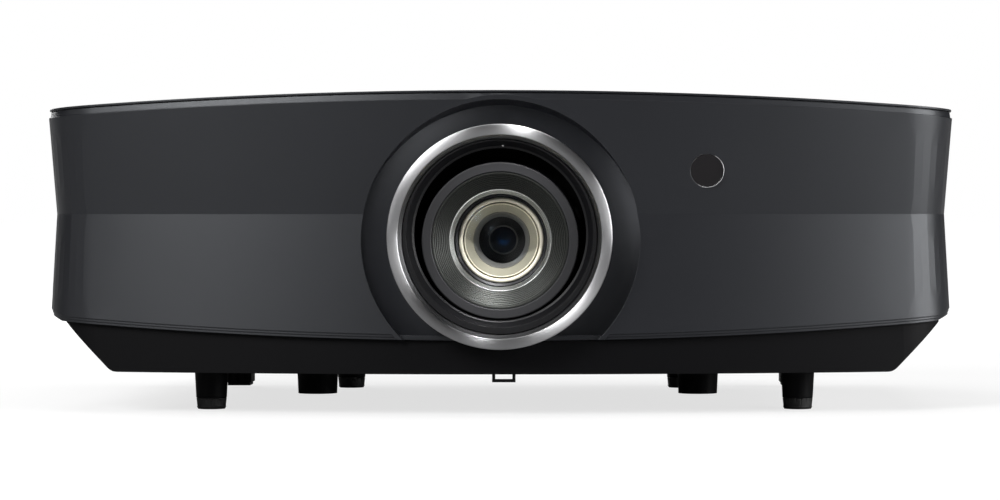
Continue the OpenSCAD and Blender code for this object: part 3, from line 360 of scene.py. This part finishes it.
# %% Metals
METAL_EDGE = 0.2*mm


def turned(name, colour, roughness, centre, groove=0.3*mm, depth=0.003*mm, smear=0.95,
           swing=0.04):
    finish = Finish(name, colour, roughness, metallic=1.0, Anisotropic=smear)
    outward = finish.from_axis(centre)
    finish.link(outward, "Tangent")
    radius = finish.add("ShaderNodeVectorMath", {0: outward}, operation="LENGTH")
    line = finish.add("ShaderNodeTexNoise", {
        "W": radius.outputs["Value"], "Scale": 1/groove, "Detail": 1.0}, noise_dimensions="1D")
    finish.vary_roughness(line.outputs["Fac"], roughness - swing, roughness + swing)
    finish.bump(line.outputs["Fac"], depth, METAL_EDGE)
    return finish.material


def rough_metal(name, colour, roughness, scale=300, depth=0.004*mm, swing=0.06):
    finish = Finish(name, colour, roughness, metallic=1.0)
    finish.vary_roughness(finish.noise(scale, 3), roughness - swing, roughness + swing)
    finish.bump(finish.noise(scale*4, 2), depth, METAL_EDGE)
    return finish.material


FINISHES.update({
    "trim_metal": turned("trim_metal", (0.5, 0.5, 0.51), 0.34, ring),
    "gold_metal": turned("gold_metal", (0.60, 0.56, 0.44), 0.38, lens, smear=0.4),
    "steel": rough_metal("steel", (0.5, 0.5, 0.51), 0.3),
    "sheet_metal": rough_metal("sheet_metal", (0.55, 0.56, 0.57), 0.4, 120),
    "cast_aluminium": rough_metal("cast_aluminium", (0.5, 0.5, 0.51), 0.5, 200, 0.02*mm),
    "mirror_metal": rough_metal("mirror_metal", (0.8, 0.8, 0.8), 0.08, 100, 0),
})
print("finishes so far:", len(FINISHES))

# %% [markdown]
# Coated glass hardly shows from the front, and mirrors more the flatter it is seen. A bright film
# whose opacity is the Fresnel share does this: what isn't mirrored goes straight on to the rings
# behind, and lamps still shine through, which refracting glass wouldn't allow.

# %% Glass
def coated_glass(name, tint, share):
    finish = Finish(name, tint, 0.1, metallic=1.0)
    finish.vary_roughness(finish.noise(40, 3), 0.08, 0.12)
    mirrored = finish.add("ShaderNodeFresnel", {"IOR": 1.5}).outputs["Fac"]
    finish.link(join(finish.tree, mirrored, share, "MULTIPLY"), "Alpha")
    return finish.material


FINISHES["lens_glass"] = coated_glass("lens_glass", (0.62, 0.78, 0.95), 0.12)
FINISHES["prism_glass"] = coated_glass("prism_glass", (0.8, 0.9, 0.9), 1.5)

# %% [markdown]
# ## Dressing the engineering pieces
# Each engineering piece names its material slot, and the slot names the finish. Four pieces look
# a little different from the rest of their slot, so they have finishes of their own: the bar of
# black steel, the grained rear panel, the satin shroud round the lens, and the focus ring.

# %% Dress the engineering pieces
own_finish = {
    "security_bar": rough_metal("black_steel", (0.02, 0.02, 0.021), 0.4),
    "rear_panel": moulded("rear_satin", (0.012, 0.012, 0.013), 0.45),
    "lens_shroud": moulded("shroud_satin", (0.006, 0.006, 0.007), 0.42, Specular_IOR_Level=0.3),
    "focus_ring": moulded("ring_satin", (0.018, 0.018, 0.020), 0.42, grain=0.2*mm),
}
for name, node in NODES.items():
    node.data.materials.clear()
    node.data.materials.append(own_finish.get(name, FINISHES[SLOTS[name]]))
print("dressed", len(NODES), "nodes with", len(FINISHES), "finishes")

# %% [markdown]
# Every new piece goes the same way: a bmesh holds its shape, then its faces are turned outwards
# and smoothed up to an angle, and it gets its finish and the body that it moves with.
# A copy of an engineering mesh carries the shading directions of the old shape. They are dropped,
# because they would make a merged copy look padded.

# %% A helper for new pieces
def piece_from(name, shape, finish, body, smooth_angle=30, recalculate=True,
               merge=0.00001*mm):
    if recalculate:
        bmesh.ops.remove_doubles(shape, verts=shape.verts, dist=merge)
        bmesh.ops.recalc_face_normals(shape, faces=shape.faces)
    mesh = bpy.data.meshes.new(name)
    shape.to_mesh(mesh)
    shape.free()
    if "custom_normal" in mesh.attributes:
        mesh.attributes.remove(mesh.attributes["custom_normal"])
    for polygon in mesh.polygons:
        polygon.use_smooth = True
    mesh.set_sharp_from_angle(angle=radians(smooth_angle))
    mesh.materials.append(finish)
    piece = bpy.data.objects.new(name, mesh)
    bpy.context.scene.collection.objects.link(piece)
    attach(piece, body)
    return piece

# %% [markdown]
# ## Covers
# The rim under the lid isn't upright: it leans back a little, so that it comes out of the mould,
# and catches the key light as a thin bright band. A copy of each cover is merged, and the upper
# edge of its rim is moved inwards. Only corners that lie on that edge, and face out, are moved.
# The edge follows the crown of the lid, an arc with a radius of several metres. The waist crease
# is a bend of few degrees, so the covers are smoothed up to a small angle only.

# %% Lean the rims back
def cover_copy(node, merge=0.001*mm):
    shape = bmesh.new()
    shape.from_mesh(NODES[node].data)
    bmesh.ops.remove_doubles(shape, verts=shape.verts, dist=merge)
    return shape


def faces_out(face, corner, steepest=0.35):
    side = Vector((corner.co.x, corner.co.y, 0))
    return abs(face.normal.z) < steepest and face.normal.dot(side) > 0


def lean_rim(shape, rim_top, crown_radius, lean, reach=0.12*mm):
    moved = {}
    for corner in shape.verts:
        height = rim_top - corner.co.x**2/(2*crown_radius)
        if abs(corner.co.z - height) > reach:
            continue
        outward = [face.normal for face in corner.link_faces if faces_out(face, corner)]
        if outward:
            moved[corner] = sum(outward, Vector())
    for corner, direction in moved.items():
        direction.z = 0
        corner.co -= direction.normalized()*lean
    return len(moved)


LID_HEIGHT, CROWN_RADIUS, RIM_LEAN = 1.6*mm, 3.6, 0.75*mm
CREASE_ANGLE = 6


def dressed_cover(node, name):
    shape = cover_copy(node)
    count = lean_rim(shape, top_z - LID_HEIGHT, CROWN_RADIUS, RIM_LEAN)
    cover = piece_from(name, shape, FINISHES["case_black"], "case",
                       CREASE_ANGLE, recalculate=False)
    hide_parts(node)
    print(name, "rim corners moved:", count)
    return cover


top_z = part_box("top_cover")[1].z
covers = [dressed_cover(node, node + "_shell") for node in
          ("front_cover", "side_cover_left", "side_cover_right")]
print("covers:", [cover.name for cover in covers])

# %% [markdown]
# ## Lens
# Nearly everything round a lens is turned, so each piece starts as half a section: a few points,
# each a radius and a depth, joined by edges and spun round the axis. A live Bevel modifier then
# takes the sharpness off its edges, because a machined edge always carries a small chamfer.

# %% A helper for turned pieces
def spin_section(shape, section, centre, steps):
    points = [shape.verts.new((centre.x + radius*mm, centre.y + depth*mm, centre.z))
              for radius, depth in section]
    edges = [shape.edges.new((points[i - 1], points[i])) for i in range(len(points))]
    bmesh.ops.spin(shape, geom=points + edges, cent=centre, axis=(0, 1, 0), dvec=(0, 0, 0),
                   angle=2*pi, steps=steps, use_merge=True, use_duplicate=False)


def soften(piece, width, segments=2, angle=30):
    bevel = piece.modifiers.new("edge", "BEVEL")
    bevel.width = width
    bevel.segments = segments
    bevel.limit_method = "ANGLE"
    bevel.angle_limit = radians(angle)
    bevel.use_clamp_overlap = True


def turned_piece(name, section, centre, finish, body, edge=0.0, steps=128):
    shape = bmesh.new()
    spin_section(shape, section, centre, steps)
    piece = piece_from(name, shape, finish, body)
    if edge > 0:
        soften(piece, edge)
    return piece


# %% [markdown]
# The trim ring is one turned part with two finishes: its flat front shows the grooves of the
# tool, and its inner bevel is smoother, and darker as painted shade: the same metal is given a
# darker colour there, where the bevel faces into the dark opening. Spinning the two sections
# apart gives each its finish, and rounder edges than the engineering mesh has.

# %% Trim ring
ring_axis = Vector((ring.x, ring_front, ring.z))
ring_back = (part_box("trim_ring")[1].y - ring_front)/mm
# A darker copy of the ring's metal: painted shade on the inner bevel, which faces the dark
# opening.
shaded_bevel_metal = turned("shaded_bevel_metal", (0.20, 0.20, 0.205), 0.3, ring, smear=0.3)
face_section = [(59.5, ring_back), (59.5, 0.7), (59.3, 0.2), (58.8, 0), (54.3, 0), (54.0, 0.15),
                (53.0, 2.2), (53.0, ring_back)]
bevel_section = [(54.0, 0.3), (51.6, 3.6), (51.6, ring_back), (53.1, ring_back), (53.1, 2.2)]
ring_face = turned_piece("ring_face", face_section, ring_axis, FINISHES["trim_metal"],
                         "case", edge=0.1*mm, steps=180)
ring_bevel = turned_piece("ring_bevel", bevel_section, ring_axis, shaded_bevel_metal,
                          "case", edge=0.1*mm, steps=180)
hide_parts("trim_ring")
print(ring_face.name, "and", ring_bevel.name, "are", ring_back, "mm deep")

# %% [markdown]
# The front of the lens is a shallow funnel of fine ribs, which keeps stray light off the glass.
# Black anodised aluminium is darker than paint, and still shines along each rib where it faces
# the lamp overhead. The ribs are steps that a loop writes, and the funnel ends in a polished
# chamfer.

# %% Ribbed funnel, chamfer and glass seat
def anodised(name, colour, roughness, centre, metallic=0.6, groove=0.2*mm,
             swing=0.05):
    finish = Finish(name, colour, roughness, metallic=metallic)
    radius = finish.add("ShaderNodeVectorMath", {0: finish.from_axis(centre)}, operation="LENGTH")
    line = finish.add("ShaderNodeTexNoise", {
        "W": radius.outputs["Value"], "Scale": 1/groove, "Detail": 2.0}, noise_dimensions="1D")
    finish.vary_roughness(line.outputs["Fac"], roughness - swing, roughness + swing)
    finish.vary_colour(finish.noise(30, 3), shade(colour, 1.1), shade(colour, 0.9))
    return finish.material


def funnel_section(outer, inner, front, depth, ribs, groove, land=0.6, flank=0.65, fall_share=0.5):
    pitch, fall = (outer - inner)/ribs, depth/ribs
    section = []
    for i in range(ribs):
        radius, deep = outer - i*pitch, front + i*fall
        section += [(radius, deep), (radius - land*pitch, deep + fall_share*fall),
                    (radius - flank*pitch, deep + fall_share*fall + groove)]
    return section


black_anodised = anodised("black_anodised", (0.036, 0.038, 0.035), 0.44, lens, 0.7)
dark_anodised = anodised("dark_anodised", (0.02, 0.02, 0.022), 0.4, lens)
polished_black = anodised("polished_black", (0.6, 0.61, 0.59), 0.3, lens, 1.0)
RIBS = 9
funnel = funnel_section(35.4, 27.3, 0.7, 5.9, RIBS, 0.8)
hood_front = [(33.9, 37), (33.9, 3.5), (36.1, 3.5), (36.1, 0.4), (35.6, 0.4)]
hood_back = [(27.2, 6.8), (27.2, 18.2), (30, 18.2), (30, 37)]
retainer_section = [(27.3, 6.6), (26.7, 6.5), (24.9, 8.4), (24.8, 9.2), (27.3, 9.2)]
seat_section = [(27.1, 17.9), (27.1, 33), (23.2, 33), (23.2, 18.6), (24.4, 17.9)]
hood = turned_piece("lens_hood", hood_front + funnel + hood_back, lens, black_anodised,
                    "focus_group")
chamfer = turned_piece("glass_retainer", retainer_section, lens, polished_black,
                       "focus_group", edge=0.08*mm)
seat = turned_piece("glass_seat", seat_section, lens, dark_anodised, "focus_group")
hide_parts("front_cell")
print("ribs:", RIBS, "funnel points:", len(funnel), "with", chamfer.name, "and", seat.name)

# %% [markdown]
# The front element is a real lens section: a convex front, a flat back and a straight edge, which
# on the real lens is ground and blackened; here it keeps the glass finish. An arc gives the front,
# and the spin does the rest.

# %% Front element
def element_section(radius, curve, front, thickness, steps=12):
    def sag(r):
        return curve - (curve*curve - r*r)**0.5
    rise = [(radius*i/steps, front + sag(radius*i/steps)) for i in range(steps + 1)]
    return rise + [(radius, front + thickness), (0, front + thickness)]


front_element = turned_piece("front_element", element_section(27.0, 62, 9.1, 8.8), lens,
                             FINISHES["lens_glass"], "focus_group")
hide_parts("front_glass")
print(front_element.name, "faces:", len(front_element.data.polygons))

# %% [markdown]
# Behind the front glass lie the rings that catch the eye: a bead of champagne-coloured metal, a
# black gap, the bright lip of the next cell, its wide satin funnel, and a darker one further in.
# Each is turned in the same way, and they only differ in section and in colour.

# %% Rings behind the front glass
champagne = anodised("champagne", (0.92, 0.87, 0.72), 0.4, lens, 0.4)
satin_beige = anodised("satin_beige", (0.37, 0.355, 0.28), 0.5, lens, 0.4)
tube_grey = anodised("tube_grey", (0.20, 0.20, 0.19), 0.42, lens, 0.5)
bead_section = [(22.9, 20), (22.7, 18.9), (22.1, 18.4), (21.2, 18.4), (20.6, 18.9), (20.5, 20),
                (20.5, 22), (22.9, 22)]
lip_section = [(19.9, 22.4), (19.8, 20.2), (19.4, 20.2), (19.2, 20.8), (19.2, 22.4)]
cell_section = [(19.3, 20.9), (15.2, 26.2), (15.2, 38), (20.4, 38), (20.4, 22.3)]
tube_section = [(15.2, 26.4), (14.9, 26.0), (14.6, 26.4), (12.6, 31), (12.6, 37.9), (15.2, 37.9)]
bead = turned_piece("champagne_ring", bead_section, lens, champagne,
                    "focus_group", edge=0.15*mm)
lip = turned_piece("cell_lip", lip_section, lens, champagne,
                   "focus_group", edge=0.08*mm)
cell = turned_piece("cell_funnel", cell_section, lens, satin_beige, "focus_group")
tube = turned_piece("cell_tube", tube_section, lens, tube_grey,
                    "focus_group", edge=0.06*mm)
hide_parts("gold_ring")
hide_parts("inner_cell")
print("rings:", [piece.name for piece in (bead, lip, cell, tube)])

# %% [markdown]
# Deep inside sits the zoom group: a blackened cell, and a small, strongly curved element whose
# coating mirrors blue. What lies behind it is dark, so this glass is made opaque and nearly
# black, with a thin film, given in nanometres, that tints its reflections. A narrow ring holds
# it.

# %% Zoom element
def mirror_coated(name, film):
    finish = Finish(name, (0.07, 0.075, 0.09), 0.06, IOR=1.8, Thin_Film_Thickness=film,
                    Thin_Film_IOR=1.38)
    finish.vary_roughness(finish.noise(200, 2), 0.04, 0.09)
    return finish.material


zoom_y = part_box("zoom_cell")[0].y
zoom_centre = Vector((lens.x, zoom_y, lens.z))
blackened = anodised("blackened", (0.0015, 0.001, 0.001), 0.5, lens, 0.0)
mount_section = [(33.8, 0), (33.8, 24), (16, 24), (16, 18), (8, 12), (7.9, 2.4), (7.7, 1.8),
                 (7.3, 2.0), (7.3, 1.2), (9.5, 0.6), (14, 0.2)]
zoom_front = turned_piece("zoom_mount", mount_section, zoom_centre, blackened,
                          "zoom_group", edge=0.1*mm)
zoom_glass = turned_piece("zoom_element", element_section(7.6, 14, 1.6, 6), zoom_centre,
                          mirror_coated("zoom_coating", 326), "zoom_group")
zoom_lip = turned_piece("zoom_retainer", [(8.0, 0.9), (7.3, 0.9), (7.1, 1.5), (8.0, 1.5)],
                        zoom_centre, tube_grey, "zoom_group")
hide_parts("zoom_cell")
print("zoom group:", [piece.name for piece in (zoom_front, zoom_glass, zoom_lip)])

# %% [markdown]
# Between the front glass and the zoom group stands one more element, in the inner cell. It is a
# plain lens section again, and it moves with the focus.

# %% Inner element
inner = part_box("inner_glass")
inner_centre = Vector((lens.x, inner[0].y, lens.z))
inner_element = turned_piece("inner_element", element_section(12.5, 30, 0, 5), inner_centre,
                             FINISHES["lens_glass"], "focus_group")
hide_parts("inner_glass")
print(inner_element.name, "at", inner_centre)

# %% [markdown]
# Round the lens, the opening is deep and black. A felt-covered baffle rides on the barrel, so
# that no bright metal shows through the gap at any shift. It is a flat turned ring.

# %% Light baffle
barrel_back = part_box("lens_carriage")[0].y
felt = moulded("black_felt", (0.003, 0.003, 0.003), 0.95, grain=0.2*mm, depth=0.02*mm, edge=0,
               Specular_IOR_Level=0.1)
baffle = turned_piece("light_baffle", [(43.5, -2.9), (43.5, -2.3), (53, -2.3), (53, -2.9)],
                      Vector((lens.x, barrel_back, lens.z)), felt, "lens")
print(baffle.name, "behind", barrel_back)

# %% [markdown]
# A drop of pale paint on the shroud marks the top for the two rings. It is a small sphere,
# pressed flat, and a ray along Y finds the surface that it sits on.

# %% Index mark
def surface_y(node, x, z):
    hit, place, *_ = NODES[node].ray_cast(Vector((x, -1, z)), Vector((0, 1, 0)))
    return place.y


def painted_dot(name, x, z, radius, node, body, flatness=0.3):
    dot = bmesh.new()
    bmesh.ops.create_uvsphere(dot, u_segments=16, v_segments=8, radius=radius)
    bmesh.ops.scale(dot, vec=(1, flatness, 1), verts=dot.verts)
    bmesh.ops.translate(dot, vec=(x, surface_y(node, x, z), z), verts=dot.verts)
    return piece_from(name, dot, paint, body)


paint = moulded("index_paint", (0.55, 0.55, 0.55), 0.5, edge=0)
DOT_SIDE, DOT_UP, DOT_RADIUS = 1.5*mm, 50.4*mm, 0.6*mm
index_mark = painted_dot("index_mark", lens.x + DOT_SIDE, lens.z + DOT_UP, DOT_RADIUS,
                         "lens_shroud", "case")
print(index_mark.name, "is", index_mark.dimensions)

# %% [markdown]
# The window of the remote receiver is a smooth disc in a thin light ring, which is the flank of
# the hole in the cover, polished by the tool, where it catches the light. That flank is given the
# silver trim finish instead of black plastic, so the light ring is partly a painted highlight.

# %% Ring round the receiver window
window = middle("ir_window")
window_low, window_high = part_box("ir_window")
window_r = (window_high.x - window_low.x)/2/mm
window_front = surface_y("ir_window", window.x, window.z)
inside, outside, front, back = window_r - 0.05, window_r + 0.3, -0.04, 0.5
outline_section = [(inside, front), (outside, front), (outside, back), (inside, back)]
# Silver trim finish on the black plastic flank: a painted highlight.
outline = turned_piece("receiver_outline", outline_section,
                       Vector((window.x, window_front, window.z)), FINISHES["trim_metal"],
                       "case")
print(outline.name, "round", window, "radius in mm:", window_r)

# %% [markdown]
# Warm air leaves through the slots at the viewer's right and at the back. A fine black mesh lies
# behind them, which keeps insects out and hides the inside. It is a thin sheet whose weave is
# drawn by two crossed waves in its finish. A wave of scale 1 repeats every 0.314 m, a tenth of
# pi.

# %% Woven mesh
WAVE_PERIOD = 0.314


def woven(name, colour, roughness, pitch, swing=0.05, depth=0.1*mm):
    finish = Finish(name, colour, roughness)
    thread = {"Vector": finish.coordinates, "Scale": WAVE_PERIOD/pitch}
    waves = [finish.add("ShaderNodeTexWave", thread, bands_direction=way).outputs["Fac"]
             for way in ("Y", "Z")]
    weave = join(finish.tree, waves[0], waves[1], "MULTIPLY")
    finish.vary_colour(weave, colour, shade(colour, 0.3))
    finish.vary_roughness(finish.noise(300), roughness - swing, roughness + swing)
    finish.bump(weave, depth)
    return finish.material


mesh_black = woven("vent_mesh", (0.012, 0.012, 0.012), 0.6, 0.8*mm)
print("finish:", mesh_black.name)

# %% [markdown]
# Both screens are flat boxes between two corners. One stands inside the right side cover, and the
# other inside the exhaust slots of the rear panel, from the exhaust fan to the first screen.

# %% Screens behind the outlet slots
def sheet_between(name, low, high, finish, body):
    sheet = bmesh.new()
    bmesh.ops.create_cube(sheet, size=1)
    bmesh.ops.scale(sheet, vec=high - low, verts=sheet.verts)
    bmesh.ops.translate(sheet, vec=(high + low)/2, verts=sheet.verts)
    return piece_from(name, sheet, finish, body)


side_low, side_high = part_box("side_cover_right")
panel_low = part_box("rear_panel")[0]
INSET, THICK = 9*mm, 0.3*mm
FRONT_MARGIN, BACK_MARGIN, TOP_MARGIN, FOOT_MARGIN = 70*mm, 30*mm, 14*mm, 30*mm
REAR_START, REAR_NEAR, REAR_FAR = 90*mm, 0.9*mm, 1.2*mm
REAR_FOOT, REAR_TOP = 112*mm, 150*mm
screen_x = side_high.x - INSET
side_screen = sheet_between(
    "side_screen",
    Vector((screen_x, side_low.y + FRONT_MARGIN, side_low.z + FOOT_MARGIN)),
    Vector((screen_x + THICK, side_high.y - BACK_MARGIN, side_high.z - TOP_MARGIN)),
    mesh_black, "case")
rear_screen = sheet_between(
    "rear_screen",
    Vector((middle("exhaust_fan").x - REAR_START, panel_low.y - REAR_FAR, REAR_FOOT)),
    Vector((screen_x, panel_low.y - REAR_NEAR, REAR_TOP)),
    mesh_black, "case")
print("screens:", side_screen.dimensions, rear_screen.dimensions)
